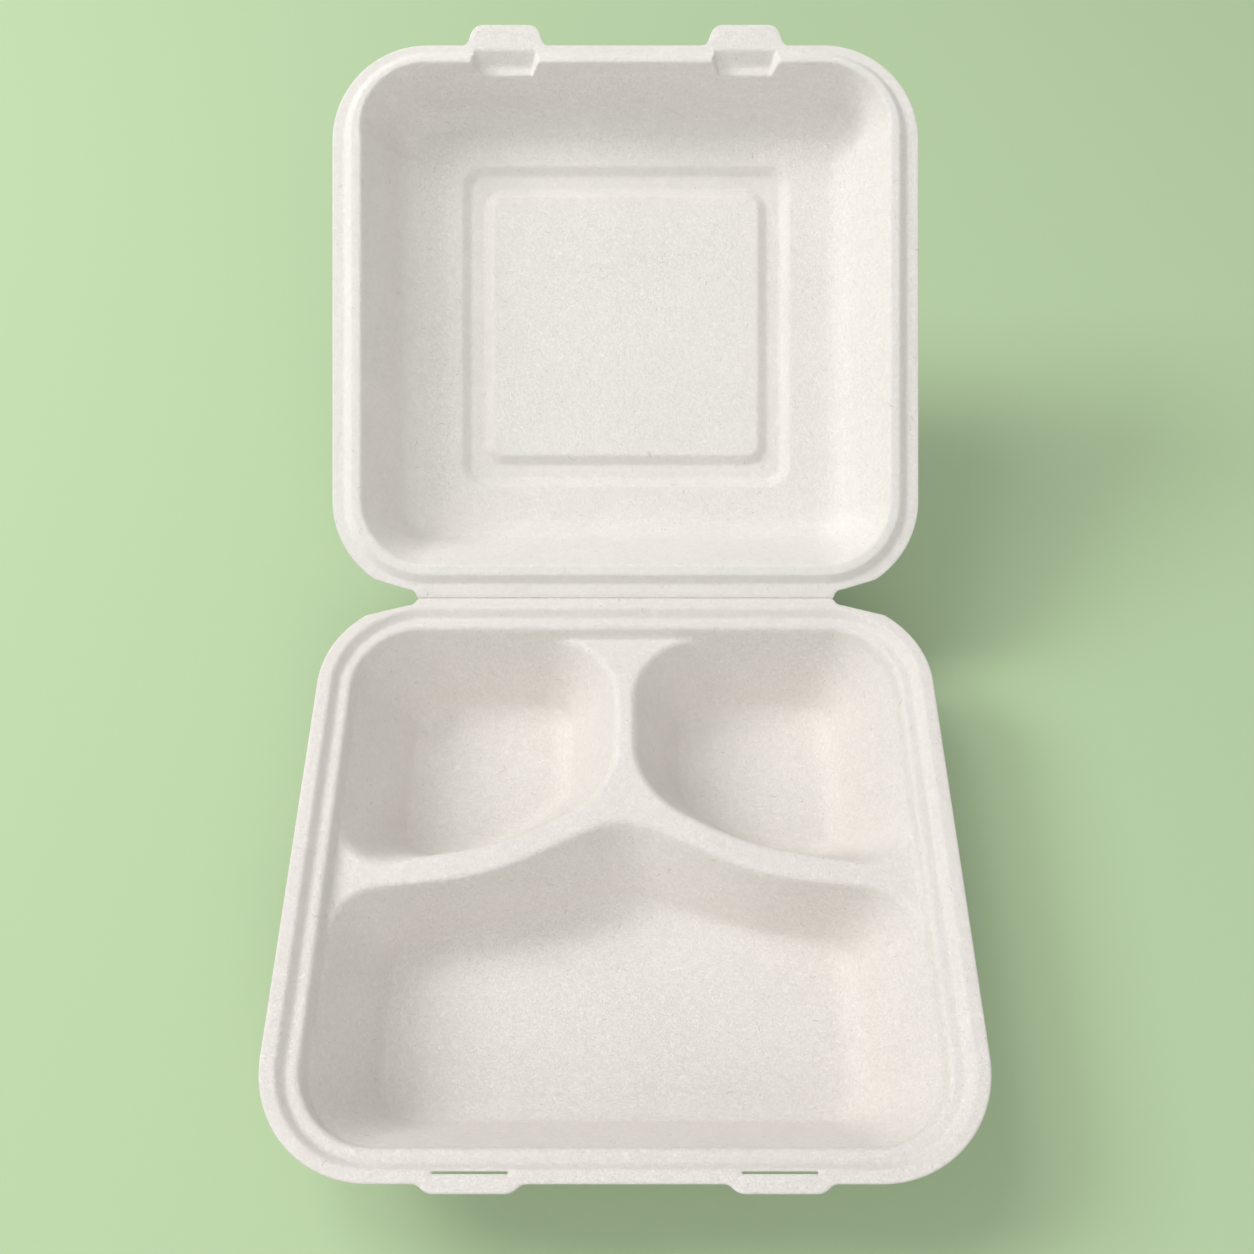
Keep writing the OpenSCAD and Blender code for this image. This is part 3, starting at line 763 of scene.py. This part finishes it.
def noise(tree, at, place, scale, detail, **values):
    """Adds a noise texture that is laid out in object coordinates."""
    return add_node(
        tree, "ShaderNodeTexNoise", at, Vector=(place, "Object"), Scale=scale, Detail=detail, **values)


def ramp(tree, at, source, low, high, first, last):
    """Adds a node that maps the range from low to high to the range from first to last."""
    return add_node(tree, "ShaderNodeMapRange", at, Value=(source, 0),
                    From_Min=low, From_Max=high, To_Min=first, To_Max=last)


def fibre_lines(group, place):
    """Adds nodes for thin curled fibres, 1 along each fibre and 0 between them."""
    total = None
    layers = ((310.0, 2.6, 0.020), (520.0, 1.8, 0.026), (760.0, 1.2, 0.034))
    for row, (scale, bend, thin) in enumerate(layers):
        down = 700 + 220 * row
        field = noise(group, (-1000, down), place, scale, 1.0, Distortion=bend)
        middle = math_node(group, (-800, down), "SUBTRACT", (field, 0))
        side = math_node(group, (-650, down), "ABSOLUTE", (middle, 0))
        line = ramp(group, (-500, down), side, 0.0, thin, 1.0, 0.0)
        total = line if total is None else math_node(group, (-300, down), "MAXIMUM", (total, 0), (line, 0))
    return total


def fibre_group():
    """Node group of pressed fibre: mottled colour, and the height of its felted grain."""
    group = bpy.data.node_groups.new("Pressed Fibre", "ShaderNodeTree")
    for label, way, kind in (("Colour", "INPUT", "Color"), ("Fleck Colour", "INPUT", "Color"),
                             ("Grain Size", "INPUT", "Float"), ("Colour", "OUTPUT", "Color"),
                             ("Height", "OUTPUT", "Float")):
        group.interface.new_socket(label, in_out=way, socket_type="NodeSocket" + kind)
    given = add_node(group, "NodeGroupInput", (-1200, 0))
    result = add_node(group, "NodeGroupOutput", (900, 0))
    place = add_node(group, "ShaderNodeTexCoord", (-1200, 300))
    felt = noise(group, (-800, 300), place, 1500.0, 3.0, Roughness=0.6)
    curl = noise(group, (-800, 60), place, 420.0, 2.0, Roughness=0.5, Distortion=1.2)
    cloud = noise(group, (-800, -180), place, 38.0, 2.0, Roughness=0.5)
    speck = noise(group, (-800, -420), place, 900.0, 1.0, Roughness=0.5)
    strands = fibre_lines(group, place)
    felt_share, curl_share, strand_share = 0.3, 0.7, 0.55
    low = math_node(group, (-650, 60), "MULTIPLY", (curl, 0), curl_share)
    high = math_node(group, (-500, 240), "MULTIPLY_ADD", (felt, 0), felt_share, (low, 0))
    raised = math_node(group, (-400, 360), "MULTIPLY_ADD", (strands, 0), strand_share, (high, 0))
    sized = math_node(group, (-300, 240), "MULTIPLY", (raised, 0), (given, "Grain Size"))
    link(group, sized, 0, result, "Height")
    shade = ramp(group, (-500, -60), curl, 0.3, 0.7, 0.965, 1.02)
    tone = ramp(group, (-500, -180), cloud, 0.3, 0.7, 0.985, 1.012)
    both = math_node(group, (-300, -100), "MULTIPLY", (shade, 0), (tone, 0))
    tinted = add_node(group, "ShaderNodeVectorMath", (-100, 0), operation="SCALE", Scale=(both, 0))
    link(group, given, "Colour", tinted, 0)
    dark = ramp(group, (-500, -420), speck, 0.72, 0.80, 0.0, 0.35)
    mixed = add_node(group, "ShaderNodeMix", (200, 0), data_type="RGBA")
    link(group, dark, 0, mixed, 0)
    link(group, tinted, 0, mixed, 6)
    link(group, given, "Fleck Colour", mixed, 7)
    link(group, mixed, 2, result, "Colour")
    return group


def fibre_material(name, tint):
    """Material of pressed fibre in one colour."""
    group = bpy.data.node_groups.get("Pressed Fibre") or fibre_group()
    fleck = settings().look.fleck_colour
    made = bpy.data.materials.new(name)
    made.use_nodes = True
    tree = made.node_tree
    shader = tree.nodes["Principled BSDF"]
    shader.inputs["Roughness"].default_value = 0.88
    shader.inputs["Specular IOR Level"].default_value = 0.28
    fibre = add_node(tree, "ShaderNodeGroup", (-700, 200), node_tree=group)
    fibre.inputs["Colour"].default_value = (*tint, 1)
    fibre.inputs["Fleck Colour"].default_value = (*fleck, 1)
    fibre.inputs["Grain Size"].default_value = 1.0
    bump = add_node(
        tree, "ShaderNodeBump", (-300, -200), Strength=0.6, Distance=0.00028, Height=(fibre, "Height"))
    link(tree, fibre, "Colour", shader, "Base Color")
    link(tree, bump, "Normal", shader, "Normal")
    return made


def settings():
    """The box's settings in the scene."""
    return bpy.context.scene.fibre_box


def fibre_tree(name, material):
    """Geometry Nodes tree that scatters short bent fibres over a surface."""
    tree = bpy.data.node_groups.new(name, "GeometryNodeTree")
    face = tree.interface
    face.new_socket("Geometry", in_out="INPUT", socket_type="NodeSocketGeometry")
    for label, value in (("Density", 3000.0), ("Length", 0.0018), ("Bend", 0.0007), ("Radius", 0.00006)):
        face.new_socket(label, in_out="INPUT", socket_type="NodeSocketFloat").default_value = value
    face.new_socket("Geometry", in_out="OUTPUT", socket_type="NodeSocketGeometry")
    given = add_node(tree, "NodeGroupInput", (-1200, 0))
    result = add_node(tree, "NodeGroupOutput", (900, 0))
    points = add_node(tree, "GeometryNodeDistributePointsOnFaces", (-900, 200), Seed=7,
                      Mesh=(given, "Geometry"), Density=(given, "Density"))
    half = math_node(tree, (-1000, -200), "MULTIPLY", (given, "Length"), 0.5)
    back = math_node(tree, (-1000, -350), "MULTIPLY", (given, "Length"), -0.5)
    first = add_node(tree, "ShaderNodeCombineXYZ", (-800, -200), X=(back, 0))
    middle = add_node(tree, "ShaderNodeCombineXYZ", (-800, -330), Y=(given, "Bend"))
    last = add_node(tree, "ShaderNodeCombineXYZ", (-800, -460), X=(half, 0))
    strand = add_node(tree, "GeometryNodeCurveQuadraticBezier", (-600, -250), Resolution=4,
                      Start=(first, 0), Middle=(middle, 0), End=(last, 0))
    ring = add_node(tree, "GeometryNodeCurvePrimitiveCircle", (-600, -450), mode="RADIUS", Resolution=4,
                    Radius=(given, "Radius"))
    tube = add_node(tree, "GeometryNodeCurveToMesh", (-400, -300), Fill_Caps=True,
                    Curve=(strand, 0), Profile_Curve=(ring, 0))
    turn, size = (add_node(tree, "FunctionNodeRandomValue", at, data_type="FLOAT", Seed=seed)
                  for at, seed in (((-900, -50), 11), ((-500, -80), 23)))
    for chosen, low, high in ((turn, 0.0, math.tau), (size, 0.45, 1.3)):
        chosen.inputs[2].default_value = low
        chosen.inputs[3].default_value = high
    spin = add_node(tree, "FunctionNodeAxisAngleToRotation", (-700, 0), Angle=(turn, 1))
    turned = add_node(tree, "FunctionNodeRotateRotation", (-500, 100), rotation_space="LOCAL",
                      Rotation=(points, "Rotation"), Rotate_By=(spin, 0))
    placed = add_node(tree, "GeometryNodeInstanceOnPoints", (-100, 100), Points=(points, "Points"),
                      Instance=(tube, 0), Rotation=(turned, 0), Scale=(size, 1))
    real = add_node(tree, "GeometryNodeRealizeInstances", (200, 100), Geometry=(placed, 0))
    painted = add_node(tree, "GeometryNodeSetMaterial", (500, 100), Material=material, Geometry=(real, 0))
    link(tree, painted, 0, result, 0)
    return tree


def scatter_fibres(name, shell, material):
    """Short loose fibres pressed into a shell's surface, as one plain mesh."""
    carrier = new_object(name + "_carrier", shell.data.copy())
    modifier = carrier.modifiers.new("fibres", "NODES")
    modifier.node_group = fibre_tree(name, material)
    for item in modifier.node_group.interface.items_tree:
        if item.in_out == "INPUT" and item.name == "Density":
            modifier[item.identifier] = settings().look.fibre_density
    evaluated = carrier.evaluated_get(bpy.context.evaluated_depsgraph_get())
    mesh = bpy.data.meshes.new_from_object(evaluated)
    bpy.data.objects.remove(carrier)
    return new_object(name, mesh)


class BOX_OT_tray(bpy.types.Operator):
    """Builds the tray's pressed shell"""

    bl_idname = "fibre_box.tray"
    bl_label = "Build Tray"

    def execute(self, context):
        tray, box = Sizes(settings().tray), Sizes(settings().box)
        outline, face, back_paths, main_paths = tray_shape(tray, Sizes(settings().pockets), box)
        field = tray_points(tray, box, outline, back_paths, main_paths)
        made = pressed_sheet("tray_shell", field, face, tray.wall, flat_place(0.0))
        made.data.materials.append(fibre_material("Tray Fibre", settings().look.tray_colour_with_painted_shade))
        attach(made, TRAY_BODY)
        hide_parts("tray")
        return {"FINISHED"}


class BOX_OT_lid(bpy.types.Operator):
    """Builds the lid's pressed shell"""

    bl_idname = "fibre_box.lid"
    bl_label = "Build Lid"

    def execute(self, context):
        tray, lid, box = Sizes(settings().tray), Sizes(settings().lid), Sizes(settings().box)
        outline, face, latch_run = lid_shape(tray, lid, box)
        field = lid_points(tray, lid, box, outline, latch_run)
        made = pressed_sheet("lid_shell", field, face, lid.wall, flat_place(LID_TILT))
        made.data.materials.append(fibre_material("Lid Fibre", settings().look.lid_colour))
        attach(made, LID_BODY)
        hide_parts("lid")
        return {"FINISHED"}


class BOX_OT_crease(bpy.types.Operator):
    """Builds the thin bent fibre of the crease"""

    bl_idname = "fibre_box.crease"
    bl_label = "Build Crease"

    def execute(self, context):
        made = crease_strip("crease_fibre", Sizes(settings().box))
        # The crease's fibre is painted 10 percent darker than the tray's: painted shade in the fold.
        shaded = [0.9 * part for part in settings().look.tray_colour_with_painted_shade]
        made.data.materials.append(fibre_material("Crease Fibre", shaded))
        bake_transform(made)
        return {"FINISHED"}


class BOX_OT_fibres(bpy.types.Operator):
    """Scatters loose fibres over tray and lid"""

    bl_idname = "fibre_box.fibres"
    bl_label = "Scatter Fibres"

    def execute(self, context):
        material = fibre_material("Loose Fibre", settings().look.loose_colour)
        for part, body in (("tray", TRAY_BODY), ("lid", LID_BODY)):
            made = scatter_fibres(part + "_loose_fibres", bpy.data.objects[part + "_shell"], material)
            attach(made, body)
        return {"FINISHED"}


class BOX_OT_stage(bpy.types.Operator):
    """Builds the floor, lamps, world and camera"""

    bl_idname = "fibre_box.stage"
    bl_label = "Build Studio"

    def execute(self, context):
        self.floor()
        world = bpy.data.worlds.new("Studio")
        world.use_nodes = True
        world.node_tree.nodes["Background"].inputs["Color"].default_value = (1.0, 1.0, 1.0, 1)
        world.node_tree.nodes["Background"].inputs["Strength"].default_value = 0.52
        context.scene.world = world
        self.lamp("left_lamp", (-1.4, 0.3, 1.3), 0.7, 17.0)
        self.lamp("top_lamp", (-0.75, 0.5, 1.68), 0.7, 8.0)
        self.lamp("front_lamp", (0.2, -1.5, 1.2), 1.2, 8.5)
        context.scene.camera = self.camera()
        context.scene.view_settings.view_transform = "Standard"
        return {"FINISHED"}

    @staticmethod
    def floor():
        """The plain floor, green to the eye and near white to the light that it throws back."""
        mesh = bpy.data.meshes.new("studio_floor")
        reach = 4.0
        corners = [(-reach, -reach, 0), (reach, -reach, 0), (reach, reach, 0), (-reach, reach, 0)]
        mesh.from_pydata(corners, [], [(0, 1, 2, 3)])
        paint = bpy.data.materials.new("Studio Floor")
        paint.use_nodes = True
        tree = paint.node_tree
        shader = tree.nodes["Principled BSDF"]
        shader.inputs["Base Color"].default_value = (*settings().look.floor_colour, 1)
        shader.inputs["Roughness"].default_value = 0.95
        shader.inputs["Specular IOR Level"].default_value = 0.1
        bounce = add_node(tree, "ShaderNodeBsdfDiffuse", (0, -300))
        bounce.inputs["Color"].default_value = (0.66, 0.655, 0.64, 1)
        path = add_node(tree, "ShaderNodeLightPath", (0, 300))
        direct = math_node(tree, (150, 300), "ADD", (path, "Is Camera Ray"), (path, "Is Glossy Ray"))
        clear = math_node(tree, (300, 300), "ADD", (direct, 0), (path, "Is Transmission Ray"))
        seen = add_node(tree, "ShaderNodeMixShader", (300, 0))
        for target, source in enumerate((clear, bounce, shader)):
            link(tree, source, 0, seen, target)
        link(tree, seen, 0, tree.nodes["Material Output"], "Surface")
        mesh.materials.append(paint)
        return new_object("studio_floor", mesh)

    @staticmethod
    def lamp(name, at, size, power):
        """Adds one square lamp that faces the box."""
        data = bpy.data.lights.new(name, "AREA")
        data.shape = "SQUARE"
        data.size = size
        data.energy = power
        data.color = LAMP_TINT
        made = new_object(name, data)
        made.location = at
        made.rotation_euler = (LAMP_AIM - Vector(at)).to_track_quat("-Z", "Y").to_euler()

    @staticmethod
    def camera():
        """The camera, which looks straight at the lid as in the photograph."""
        data = bpy.data.cameras.new("front_camera")
        data.sensor_width = FILM_WIDTH
        data.lens = FILM_WIDTH * LENS_PIXELS / PICTURE_PIXELS
        data.clip_start = 0.01
        data.clip_end = 20.0
        eye = new_object("front_camera", data)
        up = Vector((0, math.cos(LID_TILT), math.sin(LID_TILT)))
        towards = Vector((0, -math.sin(LID_TILT), math.cos(LID_TILT)))
        eye.location = CREASE - EYE_DROP * up + EYE_DISTANCE * towards + Vector((EYE_ASIDE, 0, 0))
        eye.rotation_euler = (LID_TILT, 0, 0)
        return eye


class BOX_PT_panel(bpy.types.Panel):
    """Sidebar panel of the fibre box"""

    bl_label = "Fibre Box"
    bl_idname = "BOX_PT_panel"
    bl_space_type = "VIEW_3D"
    bl_region_type = "UI"
    bl_category = "Fibre Box"

    def draw(self, context):
        for made in OPERATORS:
            self.layout.operator(made.bl_idname)
        chosen = settings()
        for group in (chosen.tray, chosen.pockets, chosen.lid, chosen.box, chosen.look):
            box = self.layout.box()
            for key in group.bl_rna.properties.keys():
                if key not in ("rna_type", "name"):
                    box.prop(group, key)


OPERATORS = (BOX_OT_tray, BOX_OT_lid, BOX_OT_crease, BOX_OT_fibres, BOX_OT_stage)
CLASSES = (TraySizes, PocketSizes, LidSizes, BoxSizes, FibreLook, Settings) + OPERATORS + (BOX_PT_panel,)


def register():
    """Makes the box's classes and settings known."""
    for made in CLASSES:
        bpy.utils.register_class(made)
    bpy.types.Scene.fibre_box = bpy.props.PointerProperty(
        type=Settings, name="Fibre Box", description="Settings of the box")


def unregister():
    """Takes the box's classes and settings away again."""
    del bpy.types.Scene.fibre_box
    for made in reversed(CLASSES):
        bpy.utils.unregister_class(made)


def main():
    """Builds the studio and the box."""
    register()
    bpy.ops.fibre_box.stage()
    bpy.ops.fibre_box.tray()
    bpy.ops.fibre_box.lid()
    bpy.ops.fibre_box.crease()
    bpy.ops.fibre_box.fibres()
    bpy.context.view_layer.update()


if __name__ == "__main__":
    main()
